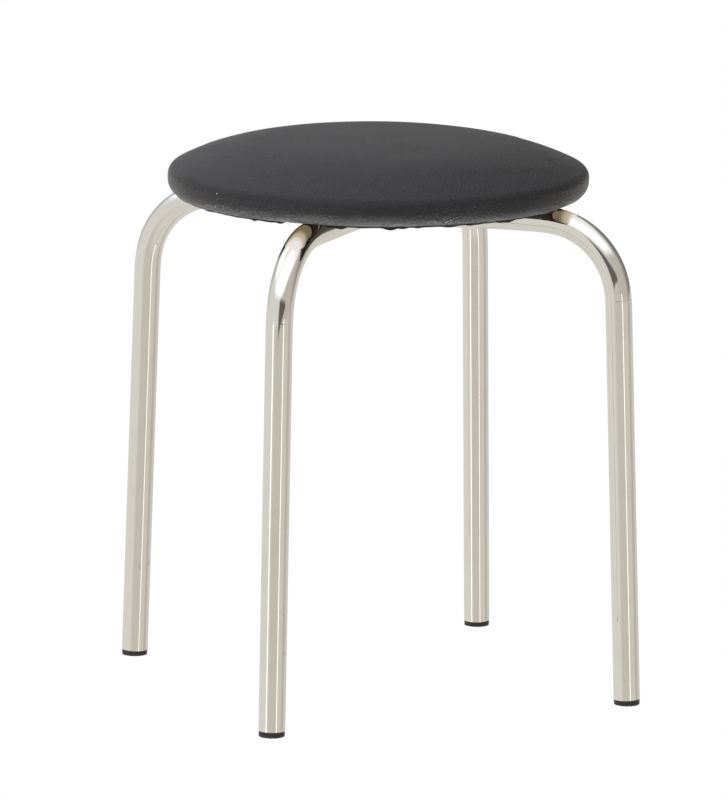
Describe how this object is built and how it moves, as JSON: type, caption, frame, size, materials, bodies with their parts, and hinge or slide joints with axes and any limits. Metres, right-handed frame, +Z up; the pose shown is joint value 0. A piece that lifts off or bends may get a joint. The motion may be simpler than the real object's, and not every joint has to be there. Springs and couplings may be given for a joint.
{
  "type": "stool",
  "caption": "Round padded stool: black vinyl seat on two bent chrome tubes that cross pressed flat under the board, with black foot plugs.",
  "frame": {"origin": "on the floor, under the middle of the seat", "axes": "+Z up; the four feet stand on the diagonals of X and Y, and the front is at -Y"},
  "size_m": [0.35, 0.35, 0.46],
  "materials": {
    "black_vinyl": "fine grained vinyl with a soft satin sheen",
    "upholstery_foam": "open-cell foam, hidden under the cover",
    "plywood": "plywood stained dark brown",
    "chrome_tube": "bright chrome plate on drawn steel tube",
    "zinc_steel": "bright zinc plated steel",
    "black_plastic": "moulded polyethylene, slightly scuffed at the sole"
  },
  "bodies": {
    "root": {"seat_cover": "black_vinyl", "foam_pad": "upholstery_foam", "seat_board": "plywood", "hem_staples": "zinc_steel", "upper_frame_tube": "chrome_tube", "lower_frame_tube": "chrome_tube", "foot_plug_rear_right": "black_plastic", "foot_plug_rear_left": "black_plastic", "foot_plug_front_left": "black_plastic", "foot_plug_front_right": "black_plastic", "seat_screw_centre": "zinc_steel", "seat_washer_centre": "zinc_steel", "insert_nut_centre": "zinc_steel", "spacer_sleeve_rear_left": "zinc_steel", "spacer_sleeve_front_right": "zinc_steel", "seat_screw_rear_right": "zinc_steel", "seat_washer_rear_right": "zinc_steel", "insert_nut_rear_right": "zinc_steel", "seat_screw_rear_left": "zinc_steel", "seat_washer_rear_left": "zinc_steel", "insert_nut_rear_left": "zinc_steel", "seat_screw_front_left": "zinc_steel", "seat_washer_front_left": "zinc_steel", "insert_nut_front_left": "zinc_steel", "seat_screw_front_right": "zinc_steel", "seat_washer_front_right": "zinc_steel", "insert_nut_front_right": "zinc_steel"}
  },
  "joints": []
}
